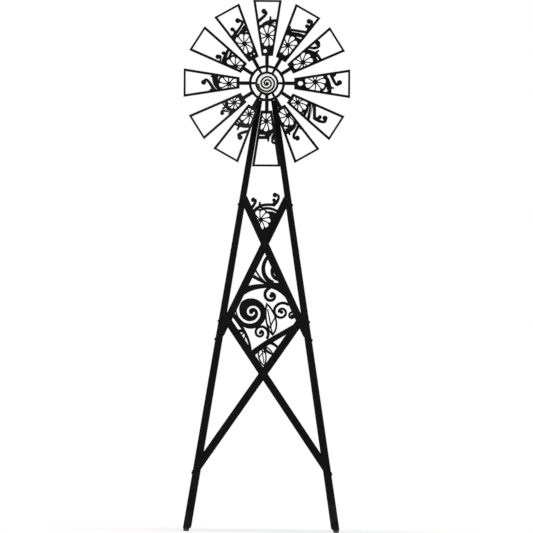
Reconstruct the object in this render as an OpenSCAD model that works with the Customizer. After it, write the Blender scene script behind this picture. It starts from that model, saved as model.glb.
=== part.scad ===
// Garden windmill: a tapering tower of steel angle legs with crossed flat-bar braces and cut scrollwork
// panels, and a swivelling head that carries a wheel of twelve pitched openwork blades and a tail vane.
// Millimetres, +Z up. The origin is on the ground under the middle of the tower. The wheel faces -Y.

/* [Tower] */
// Height of the leg tops above the ground
tower_h = 1976; // [1850:2:2150]
// Width across the leg corners at the ground
base_w = 722; // [620:2:800]
// Width across the leg corners at the leg tops
top_w = 96; // [88:1:120]
// Width of each flange of the leg angle at the ground
leg_w = 36.5; // [34:0.5:40]
// Width of each flange of the leg angle at the leg tops
leg_top_w = 27.5; // [26:0.5:31]
// Thickness of the leg angle
leg_t = 3; // [2.5:0.25:4]
// Height of the cut ends of the legs above the ground
leg_lift = 14; // [10:1:18]

/* [Braces] */
// Width of the flat-bar braces
brace_w = 34; // [26:0.5:35]
// Thickness of the flat-bar braces
brace_t = 3; // [2.5:0.25:4]
// Height of the upper cross's top bolts
upper_top_z = 1527; // [1480:1:1560]
// Height of the upper cross's lower bolts
upper_foot_z = 907; // [880:1:920]
// Height of the lower cross's lower bolts
lower_foot_z = 294; // [260:1:330]
// How much lower the bolts on the two side faces sit
side_drop = 27; // [25:1:30]

/* [Feet] */
// Side of the rubber block inside each leg
foot_w = 26; // [22:1:28]
// Height of the rubber block
foot_h = 46; // [40:1:60]
// Height of the screw that holds the rubber block
foot_screw_z = 30; // [26:1:32]
// Diameter of the anchor hole near the foot of each leg
anchor_d = 9; // [6:0.5:11]
// Height of the anchor hole above the ground
anchor_z = 80; // [76:1:140]

/* [Cap and spindle] */
// Side of the square cap plate
cap_w = 100; // [94:1:124]
// Thickness of the cap plate
cap_t = 4; // [3:0.5:6]
// Length of the lugs under the cap plate
lug_h = 48; // [46:1:70]
// Diameter of the swivel spindle
spindle_d = 16; // [12:0.5:17]
// Diameter of the spindle's flange
spindle_flange_d = 44; // [42:1:60]
// Thickness of the spindle's flange
spindle_flange_t = 4; // [3:0.5:6]

/* [Head] */
// Height of the wheel's axis above the leg tops
hub_rise = 81; // [78:1:110]
// Distance from the swivel axis to the front of the hub flange
wheel_reach = 185; // [180:1:230]
// Outer diameter of the axle tube
tube_d = 34; // [32:0.5:40]
// Bore of the axle tube
tube_bore = 26; // [24:0.5:28]
// Distance from the swivel axis to the rear end of the axle tube
tube_back = 60; // [56:1:90]
// Outer diameter of the swivel socket
socket_d = 30; // [28:0.5:34]
// Bore of the swivel socket
socket_bore = 22; // [20:0.5:24]
// Depth of the socket's mouth below the wheel's axis
socket_drop = 52; // [50:0.5:56]
// Thickness of the gusset and the tail lug
web_t = 6; // [4:0.5:8]
// Diameter of the axle
axle_d = 16; // [12:0.5:17]
// Running clearance of each bush on its shaft, on the radius
running_gap = 0.05; // [0.02:0.01:0.09]

/* [Tail] */
// Distance from the swivel axis to the end of the tail vane
tail_reach = 356; // [320:1:358]
// Width of the boom's flat bar
boom_w = 25; // [20:0.5:30]
// Thickness of the boom's flat bar
boom_t = 5; // [4:0.5:6]
// Thickness of the tail vane
vane_t = 2; // [1.5:0.25:3]
// Length of the tail vane
vane_len = 246; // [220:1:250]
// Height of the vane at its front edge
vane_front_h = 90; // [70:1:110]
// Height of the vane at its rear edge
vane_rear_h = 220; // [160:1:230]

/* [Wheel] */
// Distance from the wheel's axis to the root edge of a blade
blade_root_r = 125; // [122:1:140]
// Length of a blade from root edge to tip edge
blade_len = 257; // [230:1:270]
// Width of a blade at its root edge
blade_root_w = 55; // [50:0.5:58]
// Width of a blade at its tip edge
blade_tip_w = 141; // [120:1:150]
// Thickness of a blade
blade_t = 2.5; // [2:0.25:4]
// Pitch of the blades
blade_pitch = 22; // [12:1:30]
// Turn of the wheel at rest, counter-clockwise from the front
wheel_rest = 0.5; // [0:0.5:15]
// Width of the strips along the sides of each blade
blade_strip = 11.5; // [8:0.5:13]
// Width of the strip along the tip of each blade
tip_strip = 9.5; // [6:0.5:11]
// Width of the solid strip along the blade's root
root_strip = 15; // [14:0.5:18]
// Outer diameter of the outer ring
ring_d = 166; // [160:1:172]
// Width of the outer ring's band
ring_band = 12; // [10:0.5:13]
// Thickness of the outer ring
ring_t = 4; // [3:0.5:6]
// Width of an arm outside the ring
arm_w = 16.5; // [13:0.5:18]
// Width of an arm between hub and ring
arm_inner_w = 11.5; // [9.5:0.5:13]
// Thickness of an arm
arm_t = 4; // [3:0.5:5]

/* [Scrollwork] */
// Thickening of the lower panel's drawn lines, on each side
panel_bold = 1; // [0:0.1:1.2]
// Thickening of the finer lines of the blades and of the upper panel, on each side
fine_bold = 1.5; // [0:0.1:1.8]

/* [Hub] */
// Diameter of the hub's flange
hub_d = 108; // [106:1:116]
// Thickness of the hub's flange
hub_flange_t = 8; // [6:0.5:10]
// Diameter of the hub's rear boss
hub_boss_d = 44; // [38:1:50]
// Length of the hub's rear boss
hub_boss_len = 32; // [28:1:40]
// Thickness of the pale cap disc
cap_disc_t = 3; // [2:0.5:4]
// Width of the black rim's band
rim_band = 10; // [9:0.5:12]
// Thickness of the black rim
rim_t = 3; // [2:0.5:5]
// Thickness of the scroll on the cap disc
scroll_t = 2.5; // [1.5:0.5:4]
// Width of the scroll's line
scroll_w = 7; // [4:0.2:7.4]
// Turns of the scroll
scroll_turns = 2.6; // [2:0.1:2.8]

/* [Fasteners] */
// Diameter of the frame bolts
bolt_d = 6; // [5:0.5:7]
// Diameter of the blade bolts
blade_bolt_d = 5; // [4:0.5:5.5]
// Diameter of the ring rivets
rivet_d = 4; // [3:0.5:5]
// Diameter of the hub and spindle screws
screw_d = 4; // [3:0.5:4.5]
// Clearance of a fastener in its hole, on the radius
hole_gap = 0.15; // [0.1:0.05:0.3]

/* [Hidden] */
$fn = 48;

// Fits between pieces
press_gap = 0.02;
axial_gap = 0.2;
panel_gap = 1.5;
brace_end_gap = 1;

// Colours
black = [0.07, 0.07, 0.075];
pale = [0.93, 0.93, 0.91];
bronze = [0.62, 0.45, 0.24];
rubber = [0.12, 0.12, 0.12];

// Fastener sizes
bolt_head_h = 4;
bolt_head_d = 1.92 * bolt_d;
nut_h = 5;
bolt_end = 2;
foot_grip = 8;
foot_hole = foot_grip + nut_h + bolt_end + 7;
blade_head_d = 1.8 * blade_bolt_d;
blade_head_h = 2.5;
blade_nut_h = 4;
blade_bolt_hole_r = blade_bolt_d / 2 + hole_gap;
rivet_head_d = 2 * rivet_d;
rivet_head_h = 1.8;
screw_head_d = 1.9 * screw_d;
screw_head_h = 2.4;
screw_nut_h = 3.2;
screw_hole_r = screw_d / 2 + hole_gap;

// Tower geometry: each face leans in by tilt, each corner edge leans in by lean
tilt = atan((base_w - top_w) / 2 / tower_h);
lean = atan(sqrt(2) * tan(tilt));
edge_slant = atan(sin(tilt));
half_corner = 90 - acos(sin(tilt) * sin(tilt)) / 2;
bolt_in = leg_t + brace_end_gap + brace_w / 2;
bolt_hole_r = bolt_d / 2 + hole_gap;
head_room = 1;
cap_bolt_in = 2 * leg_t + bolt_head_d / 2 + head_room;
cap_bolt_drop = 17;
cap_bolt_stagger = 18;
washer_r = 11;
panel_rim = brace_w / 2;

// Distance up a face's slope for a height
function slope_at(z) = z / cos(tilt);

// Half width across the corners at a height
function half_at(z) = base_w / 2 - z * tan(tilt);

// Sideways place of a leg's bolt line, of its cap bolts and of its flange's free edge, at a height
function bolt_u(z) = half_at(z) - bolt_in / cos(edge_slant);
function cap_bolt_u(z) = half_at(z) - cap_bolt_in / cos(edge_slant);
function flange_u(z) = half_at(z) - (leg_w + (leg_top_w - leg_w) * z / tower_h) / cos(edge_slant);

// Height of the lower cross's top bolts, whose heads and nuts clear the upper cross's bars
upper_bar_rate = (bolt_u(upper_top_z) + bolt_u(upper_foot_z)) / (upper_top_z - upper_foot_z);
lower_top_z = upper_foot_z + ((brace_w + bolt_head_d) / 2 + head_room)
    / ((upper_bar_rate - tan(tilt)) * cos(atan(upper_bar_rate)));

function is_side(k) = k % 2;
function cross_z(k, level) =
    [for (z = level == "upper" ? [upper_top_z, upper_foot_z] : [lower_top_z, lower_foot_z])
        z - is_side(k) * side_drop];
function cap_bolt_z(k) = tower_h - cap_bolt_drop - is_side(k) * cap_bolt_stagger;

// Height above its face of a brace's inner side: the side faces carry both layers inside the legs
function brace_base(k, side) =
    is_side(k) ? -leg_t - (side < 0 ? 1 : 2) * brace_t : side < 0 ? 0 : -leg_t - brace_t;

// Top and lower bolt of one brace in its face's plane: side -1 starts at the left leg, side 1 at the right
function brace_top(k, level, side) =
    let (z = cross_z(k, level)[0]) [side * bolt_u(z), slope_at(z)];
function brace_foot(k, level, side) =
    let (z = cross_z(k, level)[1]) [-side * bolt_u(z), slope_at(z)];
function brace_cross(k, level) =
    let (top = brace_top(k, level, 1), foot = brace_foot(k, level, -1))
    [0, top.y + (foot.y - top.y) * top.x / (top.x + foot.x)];

// Head and wheel geometry
hub_z = tower_h + hub_rise;
axle_r = axle_d / 2;
spindle_r = spindle_d / 2;
bush_flange_t = 3;
bush_len = 24;
shoulder_t = 3;
shoulder_d = axle_d + 6;
hub_back = -hub_flange_t - hub_boss_len;
tube_front = -wheel_reach - hub_back + shoulder_t + axial_gap + bush_flange_t;
collar_d = 32;
collar_len = 12;
axle_back = tube_back + bush_flange_t + axial_gap + collar_len + 4;
thread_d = axle_d - 4;
axle_nut_h = 9;
axle_nut_d = 1.8 * thread_d;
nut_recess_d = axle_nut_d + 8;
nut_seat = axle_nut_h + 3 - arm_t;
socket_wall = 3;
socket_top = -tube_d / 2 - socket_wall;
thrust_t = 3;
yaw_bush_flange_t = 2;
yaw_bush_gap = 2;
yaw_bush_len = (socket_drop + socket_top - thrust_t - yaw_bush_gap) / 2;
spindle_top = hub_z + socket_top - thrust_t - axial_gap / 2;
spindle_screw_r = spindle_r + 7;

// Wheel geometry
arm_count = 12;
arm_step = 360 / arm_count;

// Turn of each arm of half the wheel from even spacing, clockwise: the short ones stand off the level pair
arm_turn = [0, -0.7, -2.4, 0, 2.4, 0.7];
function arm_angle(i) = -arm_step * i - arm_turn[i % len(arm_turn)];

short_arms = [2, 4, 8, 10];
long_arms = [for (i = [0:arm_count - 1]) if (len(search(i, short_arms)) == 0) i];
ring_r = ring_d / 2;
rivet_r = ring_r - ring_band / 2;
hub_r = hub_d / 2;
rim_inner = hub_r - rim_band;
hub_screw_r = hub_r - rim_band / 2;
spigot_r = hub_r - 2 * rim_band + 4;
arm_start = spigot_r + 1;
twist_start = ring_r + 3;
blade_bolt_u = blade_root_w / 4;
t_head_w = blade_root_w - blade_strip;
blade_edge_slope = (blade_tip_w - blade_root_w) / 2 / blade_len;

// Sizes that the scrollwork is drawn for: half width and heights of the diamond, half width and height of
// the vee, tip width and length of a blade
diamond_made = [100, 212.06];
diamond_low_made = [100, 144.54];
vee_made = [98.9, 209.7];
blade_made = [141, 257];

// Tail geometry
boom_z = tube_d / 2 + 3 + boom_w / 2;
lug_len = 46;
lug_end = tube_back - 4;
boom_start = lug_end - lug_len + 2;
tail_bolt_y = [boom_start + 10, lug_end - 10];
vane_start = tail_reach - vane_len;
boom_end = tail_reach - 90;
vane_bolt_y = [vane_start + 20, (vane_start + boom_end) / 2 + 4, boom_end - 12];

// Names
faces = ["front", "right", "back", "left"];
corners = ["front_right", "back_right", "back_left", "front_left"];
levels = ["upper", "lower"];
function brace_name(k, level, side) = str(faces[k], "_brace_", level, side < 0 ? "_outer" : "_inner");
function blade_name(i) = str("blade_", i == 0 ? 12 : i);

// Places

// Plane of one face: x across it, y up its slope, z outwards
module on_face(k) {
    rotate(90 * k) translate([0, -base_w / 2, 0]) rotate([90 - tilt, 0, 0]) children();
}

// Frame of one leg: z along its corner edge, x towards the tower's axis
module on_leg(k) {
    rotate(90 * k) translate([base_w / 2, -base_w / 2, 0]) rotate(135) rotate([0, lean, 0]) children();
}

// Frame of the wheel: y up, z forwards, with the hub flange's front face at z = 0
module on_wheel() {
    translate([0, -wheel_reach, hub_z]) rotate([90, 0, 0]) rotate(wheel_rest) children();
}

// Frame of one arm: y along it, counted clockwise from the top
module on_arm(i) {
    on_wheel() rotate(arm_angle(i)) children();
}

// Frame of one blade: y along it from its root edge, z out of its front face's back plane
module on_blade(i) {
    on_arm(i) translate([0, blade_root_r, arm_t / 2]) rotate([0, blade_pitch, 0])
        translate([0, 0, arm_t / 2]) children();
}

// Frame of the head: y to the rear, with the wheel's axis at z = 0
module on_head() {
    translate([0, 0, hub_z]) children();
}

// Everything between two heights
module slab(z0, z1) {
    translate([-base_w, -base_w, z0]) cube([2 * base_w, 2 * base_w, z1 - z0]);
}

// Fasteners

// Bolt along z: head on top of seat, shank down past the nut's seat
module bolt(seat, nut_seat) {
    translate([0, 0, seat]) cylinder(d = bolt_head_d, h = bolt_head_h, $fn = 6);
    translate([0, 0, nut_seat - nut_h - bolt_end])
        cylinder(d = bolt_d, h = seat - nut_seat + nut_h + bolt_end);
}

module nut(nut_seat) {
    translate([0, 0, nut_seat - nut_h]) difference() {
        cylinder(d = bolt_head_d, h = nut_h, $fn = 6);
        translate([0, 0, -1]) cylinder(r = bolt_hole_r, h = nut_h + 2);
    }
}

// Bar and angle sections

// Flat bar outline with round ends, from the origin along x
function bar_outline(length, width, steps = 8) = concat(
    [for (i = [0:steps]) let (a = -90 + 180 * i / steps) [length + width / 2 * cos(a), width / 2 * sin(a)]],
    [for (i = [0:steps]) let (a = 90 + 180 * i / steps) [width / 2 * cos(a), width / 2 * sin(a)]]
);

function arm_a() = [cos(half_corner), -sin(half_corner)];
function arm_b() = [cos(half_corner), sin(half_corner)];
function inner_corner(t) = [t / sin(half_corner), 0];

// Angle section whose outer corner stands t0 inside the tower's corner
module angle_section(t0, width, t) {
    o = inner_corner(t0);
    i = inner_corner(t0 + t);
    normal_a = [sin(half_corner), cos(half_corner)];
    normal_b = [sin(half_corner), -cos(half_corner)];
    polygon([
        o,
        o + width * arm_a(),
        o + width * arm_a() + t * normal_a,
        i,
        o + width * arm_b() + t * normal_b,
        o + width * arm_b()
    ]);
}

// Runs a section along the corner edge of leg k between two heights
module along_leg(k, z0, z1) {
    spare = 60;
    intersection() {
        on_leg(k) translate([0, 0, z0 / cos(lean) - spare])
            linear_extrude((z1 - z0) / cos(lean) + 2 * spare) children();
        slab(z0, z1);
    }
}

// Scrollwork

function bezier(a, b, c, d, t) =
    pow(1 - t, 3) * a + 3 * t * pow(1 - t, 2) * b + 3 * t * t * (1 - t) * c + pow(t, 3) * d;
function curve(a, b, c, d, steps = 12) = [for (i = [0:steps]) bezier(a, b, c, d, i / steps)];
function backwards(list) = [for (i = [len(list) - 1:-1:0]) list[i]];

// One edge of a ribbon along a path, on the left for side 1
function ribbon_edge(path, w0, w1, side) =
    let (last = len(path) - 1)
    [for (i = [0:last])
        let (
            step = path[min(i + 1, last)] - path[max(i - 1, 0)],
            along = step / norm(step),
            w = w0 + (w1 - w0) * i / last
        )
        path[i] + side * w / 2 * [-along.y, along.x]];

module ribbon(path, w0, w1) {
    polygon(concat(ribbon_edge(path, w0, w1, 1), backwards(ribbon_edge(path, w0, w1, -1))));
}

// Spiral that winds in from radius r0 at angle a0 to radius r1, each turn in the same proportion
function spiral(c, r0, r1, a0, turns) =
    let (steps = ceil(18 * abs(turns)))
    [for (i = [0:steps]) let (t = i / steps, a = a0 + 360 * turns * t)
        c + r0 * pow(r1 / r0, t) * [cos(a), sin(a)]];

// Volute: a tapering line that winds in to a round eye
module volute(c, r0, r1, a0, turns, w0, w1) {
    ribbon(spiral(c, r0, r1, a0, turns), w0, w1);
    translate(c) circle(0.9 * w1, $fn = 16);
}

// Band from a to b, bowed to the left
module bowed_band(a, b, bow, w0, w1) {
    along = b - a;
    across = bow * [-along.y, along.x] / norm(along);
    ribbon(curve(a, a + 0.33 * along + across, a + 0.67 * along + across, b), w0, w1);
}

// Tendril from a that bulges to the right, hooks back and ends in a ball at b
module hook(a, b, ball, sway) {
    along = b - a;
    right = [along.y, -along.x];
    path = curve(a, a + 0.5 * along + sway * right, b + 0.25 * along + 0.5 * right, b);
    ribbon(path, 1.2 * ball, 0.8 * ball);
    translate(b) circle(ball, $fn = 18);
}

// Short spur with a round end
module thorn(a, b) {
    spur_w = 8;
    ribbon([a, b], spur_w, 0.8 * spur_w);
    translate(b) circle(0.4 * spur_w, $fn = 12);
}

// Leaf outline from base to tip, bulging by left and right
module leaf_shape(base, tip, left, right) {
    along = tip - base;
    across = [-along.y, along.x] / norm(along);
    low = base + 0.2 * along;
    high = base + 0.7 * along;
    polygon(concat(
        curve(base, low + 1.3 * left * across, high + 1.1 * left * across, tip, 9),
        backwards(curve(base, low - 1.3 * right * across, high - 1.1 * right * across, tip, 9))
    ));
}

// Open leaf with a line round it, a midrib and two side veins
module leaf(base, tip, left, right, line) {
    along = tip - base;
    across = [-along.y, along.x] / norm(along);
    difference() {
        leaf_shape(base, tip, left, right);
        offset(delta = -line) leaf_shape(base, tip, left, right);
    }
    intersection() {
        leaf_shape(base, tip, left, right);
        union() {
            ribbon([base, base + 0.8 * along], 0.8 * line, 0.6 * line);
            ribbon([base + 0.2 * along, base + 0.45 * along + left * across], 0.8 * line, 0.6 * line);
            ribbon([base + 0.3 * along, base + 0.6 * along - right * across], 0.8 * line, 0.6 * line);
        }
    }
}

// Petal of a flower of radius r, one of a number of petals with lines between them: a sector that swirls
// clockwise on its way out, with a round outer end
function petal_half(r, petals, line) = 180 / petals - asin(line / 2 / r);
function swirled(r, angle, out) = out * [cos(angle - 14 * out / r), sin(angle - 14 * out / r)];
function petal(r, petals, line) =
    let (sides = [0.22 * r, 0.5 * r], shoulder = 0.78 * r, wide = petal_half(shoulder, petals, line))
    concat(
        [for (out = sides) swirled(r, -petal_half(out, petals, line), out)],
        [for (a = [-90:30:90]) swirled(r, wide * sin(a), shoulder + 0.27 * r * cos(a))],
        [for (out = backwards(sides)) swirled(r, petal_half(out, petals, line), out)]
    );

// Flower whose petals are open
module rosette(r, turn) {
    petals = 9;
    line = 2.6;
    rim = 4;
    difference() {
        circle(r + rim, $fn = 40);
        for (i = [0:petals - 1]) rotate(turn + 360 / petals * i) polygon(petal(r, petals, line));
    }
}

// Ring band round the origin
module band(r, width) {
    difference() {
        circle(r + width, $fn = 40);
        circle(r, $fn = 40);
    }
}

// Thickens drawn lines and closes slits that are too narrow to cut
module bold_lines(bold) {
    slit = 1.2;
    offset(delta = bold - slit / 2) offset(delta = slit / 2) children();
}

// Stretches a drawing from the size that it is made for to the size that it has here
module stretched(made, here) {
    scale([here.x / made.x, here.y / made.y]) children();
}

// Tower

module leg(k) {
    next = (k + 1) % 4;
    color(black) difference() {
        along_leg(k, leg_lift, tower_h) angle_section(0, leg_w + 1, leg_t);
        for (face = [k, next]) on_face(face) translate([0, 0, -leg_t - 1]) linear_extrude(leg_t + 2)
            between_flanges(0, tower_h + leg_w, 0);
        leg_holes(k, 1);
        leg_holes(next, -1);
    }
}

// Space between the flanges of a face, which narrow towards the top, between two heights
module between_flanges(z0, z1, gap) {
    polygon([
        [-flange_u(z0) + gap, slope_at(z0)],
        [flange_u(z0) - gap, slope_at(z0)],
        [flange_u(z1) - gap, slope_at(z1)],
        [-flange_u(z1) + gap, slope_at(z1)]
    ]);
}

// Holes in the flange that lies in face k, at its right edge for side 1 or its left edge for side -1
module leg_holes(k, side) {
    low = is_side(k) ? anchor_z : foot_screw_z;
    low_r = is_side(k) ? anchor_d / 2 : bolt_hole_r;
    on_face(k) {
        for (z = concat(cross_z(k, "upper"), cross_z(k, "lower"))) leg_hole(side * bolt_u(z), z, bolt_hole_r);
        leg_hole(side * cap_bolt_u(cap_bolt_z(k)), cap_bolt_z(k), bolt_hole_r);
        leg_hole(side * bolt_u(low), low, low_r);
    }
}

module leg_hole(u, z, r) {
    translate([u, slope_at(z), -leg_t - 1]) cylinder(r = r, h = leg_t + 2);
}

module brace(k, level, side) {
    top = brace_top(k, level, side);
    foot = brace_foot(k, level, side);
    run = foot - top;
    color(black) on_face(k) translate([0, 0, brace_base(k, side)]) difference() {
        translate(top) rotate(atan2(run.y, run.x))
            linear_extrude(brace_t) polygon(bar_outline(norm(run), brace_w));
        for (p = [top, foot, brace_cross(k, level)])
            translate([p.x, p.y, -1]) cylinder(r = bolt_hole_r, h = brace_t + 2);
    }
}

// Corners of the diamond between the two crosses
upper_cross = brace_cross(0, "upper");
lower_cross = brace_cross(0, "lower");
upper_run = brace_foot(0, "upper", -1) - upper_cross;
lower_run = brace_top(0, "lower", 1) - lower_cross;
upper_rate = upper_run.x / -upper_run.y;
lower_rate = lower_run.x / lower_run.y;
diamond_y = (upper_cross.y * upper_rate + lower_cross.y * lower_rate) / (upper_rate + lower_rate);
diamond_w = (upper_cross.y - diamond_y) * upper_rate;
diamond_up = upper_cross.y - diamond_y;
diamond_down = diamond_y - lower_cross.y;

// Place in the drawing of the diamond, from shares of its half width and of its upper or lower height
function in_diamond(f) = [f.x * diamond_made.x, f.y * (f.y > 0 ? diamond_made.y : diamond_low_made.y)];

module diamond() {
    polygon([upper_cross, [-diamond_w, diamond_y], lower_cross, [diamond_w, diamond_y]]);
}

// Stretches the upper and the lower half of a drawing to those of the diamond
module diamond_stretched() {
    translate([0, diamond_y]) {
        stretched(diamond_made, [diamond_w, diamond_up]) intersection() {
            children();
            translate([-diamond_made.x, 0]) square([2 * diamond_made.x, diamond_made.y]);
        }
        stretched(diamond_low_made, [diamond_w, diamond_down]) intersection() {
            children();
            translate([-diamond_made.x, -diamond_low_made.y])
                square([2 * diamond_made.x, diamond_low_made.y]);
        }
    }
}

module diamond_band(a, b, c, d, w0, w1) {
    ribbon(curve(in_diamond(a), in_diamond(b), in_diamond(c), in_diamond(d)), w0, w1);
}

module diamond_line(a, b, w0, w1) {
    ribbon([in_diamond(a), in_diamond(b)], w0, w1);
}

module diamond_volute(c, r0, r1, a0, turns, w0, w1) {
    volute(in_diamond(c), r0, r1, a0, turns, w0, w1);
}

module diamond_leaf(base, tip, left, right, line) {
    leaf(in_diamond(base), in_diamond(tip), left, right, line);
}

// Great volute: a solid round body with an open spiral channel that winds into its eye
module great_volute() {
    difference() {
        translate(in_diamond([-0.357, 0.092])) circle(41.3, $fn = 48);
        ribbon(spiral(in_diamond([-0.331, 0.108]), 45.5, 5.5, 125, 1.68), 7.6, 5.6);
    }
}

// Scrollwork of the diamond, in hundredths of its half width
module diamond_scrolls() {
    great_volute();
    // Arch over the great volute, which swells into the upper right side
    diamond_band([-0.62, 0.36], [-0.4, 0.44], [-0.12, 0.452], [0.16, 0.452], 18, 9);
    diamond_band([0.02, 0.455], [0.21, 0.466], [0.42, 0.458], [0.66, 0.37], 9, 30);
    // Crescents and a spray in the top corner
    diamond_band([0.15, 0.86], [-0.1, 0.76], [-0.12, 0.56], [0.24, 0.49], 8, 12);
    diamond_band([0.28, 0.74], [0.15, 0.66], [0.18, 0.535], [0.46, 0.53], 8, 8);
    diamond_band([0.12, 0.47], [-0.05, 0.51], [-0.18, 0.54], [-0.3, 0.575], 6, 9);
    diamond_band([0.1, 0.48], [-0.06, 0.52], [-0.16, 0.585], [-0.24, 0.65], 4, 4);
    // Small volutes
    diamond_volute([0.197, 0.325], 22.5, 6.5, 100, 1.02, 8, 6);
    diamond_volute([0.481, 0.115], 28, 7, 46, 1.4, 6.6, 5);
    diamond_volute([0.775, 0.068], 11.5, 4.5, 50, 0.95, 5.4, 4.2);
    diamond_volute([-0.09, -0.226], 24, 6, -42, 1.36, 6.6, 4.6);
    // Stem across the lower half, with an upright leaf
    diamond_band([0.96, -0.045], [0.57, -0.24], [0.16, -0.345], [-0.34, -0.64], 12, 15);
    diamond_leaf([0.25, -0.28], [0.062, 0.235], 13, 21, 4);
    // Leaf that sweeps down the lower left side
    diamond_band([-0.86, 0.1], [-0.74, -0.05], [-0.42, -0.19], [-0.34, -0.58], 10, 5);
    diamond_line([-0.55, -0.19], [-0.86, -0.21], 8, 6);
    diamond_line([-0.54, -0.22], [-0.68, -0.34], 3, 2);
    diamond_line([-0.5, -0.26], [-0.55, -0.46], 3, 2);
    // Leaves under the stem
    diamond_leaf([-0.05, -0.48], [0.03, -0.86], 11, 15, 3);
    diamond_leaf([-0.03, -0.48], [0.28, -0.645], 8, 6, 2.8);
    diamond_band([0.06, -0.43], [0.2, -0.385], [0.34, -0.44], [0.46, -0.56], 7, 6);
}

// Diamond panel, clamped by the lower crossing bolt between the outer and inner braces
module lower_scroll_panel() {
    color(black) on_face(0) translate([0, 0, -leg_t]) difference() {
        linear_extrude(leg_t) difference() {
            intersection() {
                union() {
                    bold_lines(panel_bold) {
                        difference() {
                            diamond();
                            offset(delta = -panel_rim) diamond();
                        }
                        intersection() {
                            diamond_stretched() diamond_scrolls();
                            diamond();
                        }
                    }
                    translate(lower_cross) circle(washer_r);
                }
                between_flanges(lower_foot_z, tower_h, panel_gap);
            }
            translate(upper_cross) circle(washer_r + panel_gap);
        }
        translate([lower_cross.x, lower_cross.y, -1]) cylinder(r = bolt_hole_r, h = leg_t + 2);
    }
}

// Vee between the upper braces above their crossing, as drawn
module vee(height) {
    w = height * vee_made.x / vee_made.y;
    polygon([[0, 0], [w, height], [-w, height]]);
}

module vee_scrolls() {
    flower = [-20, 112];
    flower_r = 45;
    solid_h = 150;
    // Solid foot of the vee round the flower
    difference() {
        vee(solid_h);
        translate(flower) circle(flower_r + 1, $fn = 40);
        bowed_band([26, 155], [56, 141], 3, 7, 7);
    }
    intersection() {
        translate(flower) rosette(flower_r, 8);
        vee(solid_h + 30);
    }
    // Bands that arch over the flower and run into the hooks
    bowed_band([-66, 128], [-16, 176], 12, 9, 12);
    bowed_band([-20, 178], [42, 181], 4, 10, 10);
    bowed_band([-18, 162], [70, 140], 17, 10, 9);
    hook([36, 178], [44, 228], 9.5, 0.5);
    hook([30, 180], [40, 204], 7, 0.2);
    bowed_band([-64, 126], [-71, 166], 0, 16, 14);
    hook([-68, 160], [-56, 204], 9.5, 0.2);
    thorn([-26, 174], [-26, 192]);
}

// Vee panel, clamped by the upper crossing bolt
module upper_scroll_panel() {
    color(black) on_face(0) translate([0, 0, -leg_t]) difference() {
        linear_extrude(leg_t) intersection() {
            translate(upper_cross) {
                bold_lines(fine_bold)
                    stretched(vee_made, brace_top(0, "upper", 1) - upper_cross) vee_scrolls();
                circle(washer_r);
            }
            between_flanges(lower_foot_z, tower_h, panel_gap);
        }
        translate([upper_cross.x, upper_cross.y, -1]) cylinder(r = bolt_hole_r, h = leg_t + 2);
    }
}

// Washers between the back face's braces where they cross, and sleeves under the ends of the side faces'
// inner braces
module crossing_washers() {
    color(black) {
        for (level = levels) on_face(2)
            translate([0, brace_cross(2, level).y, -leg_t]) spacer(washer_r, leg_t);
        for (k = [1, 3], level = levels) on_face(k)
            for (p = [brace_top(k, level, 1), brace_foot(k, level, 1)])
                translate([p.x, p.y, -leg_t - brace_t]) spacer(bolt_head_d / 2, brace_t);
    }
}

module spacer(r, h) {
    difference() {
        cylinder(r = r, h = h);
        translate([0, 0, -1]) cylinder(r = bolt_hole_r, h = h + 2);
    }
}

// Places every frame bolt of face k: calls its child with $seat under the head and $nut_seat under the nut
module frame_bolts(k) {
    on_face(k) {
        for (level = levels) {
            for (side = [-1, 1]) {
                $seat = max(0, brace_base(k, side) + brace_t);
                $nut_seat = min(-leg_t, brace_base(k, side));
                translate(brace_top(k, level, side)) children();
                translate(brace_foot(k, level, side)) children();
            }
            $seat = brace_base(k, -1) + brace_t;
            $nut_seat = brace_base(k, 1);
            translate(brace_cross(k, level)) children();
        }
        for (side = [-1, 1]) {
            $seat = 0;
            $nut_seat = -2 * leg_t;
            translate([side * cap_bolt_u(cap_bolt_z(k)), slope_at(cap_bolt_z(k))]) children();
        }
    }
}

// Screws through the front and back flanges into the rubber feet
module foot_screws() {
    for (k = [0, 2], side = [-1, 1]) on_face(k)
        translate([side * bolt_u(foot_screw_z), slope_at(foot_screw_z)]) children();
}

module tower_bolts() {
    color(black) {
        for (k = [0:3]) frame_bolts(k) bolt($seat, $nut_seat);
        foot_screws() bolt(0, -leg_t - foot_grip);
    }
}

module tower_nuts() {
    color(black) for (k = [0:3]) frame_bolts(k) nut($nut_seat);
}

// Cap plate on the leg tops, with angle lugs that nest inside the legs
module tower_cap() {
    lug_w = leg_top_w - leg_t - 1;
    color(black) difference() {
        union() {
            translate([-cap_w / 2, -cap_w / 2, tower_h]) cube([cap_w, cap_w, cap_t]);
            for (k = [0:3]) along_leg(k, tower_h - lug_h, tower_h + cap_t / 2)
                angle_section(leg_t, lug_w, leg_t);
        }
        for (k = [0:3], side = [-1, 1]) on_face(k)
            translate([side * cap_bolt_u(cap_bolt_z(k)), slope_at(cap_bolt_z(k)), -2 * leg_t - 1])
                cylinder(r = bolt_hole_r, h = 2 * leg_t);
        spindle_screw_places()
            translate([0, 0, tower_h - 1]) cylinder(r = screw_hole_r, h = cap_t + 2);
    }
}

module spindle_screw_places() {
    for (i = [0:3]) rotate(90 * i) translate([spindle_screw_r, 0, 0]) children();
}

module swivel_spindle() {
    base = tower_h + cap_t;
    color(black) difference() {
        union() {
            translate([0, 0, base]) cylinder(d = spindle_flange_d, h = spindle_flange_t);
            translate([0, 0, base]) cylinder(r = spindle_r, h = spindle_top - base);
        }
        spindle_screw_places()
            translate([0, 0, base - 1]) cylinder(r = screw_hole_r, h = spindle_flange_t + 2);
    }
}

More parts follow.
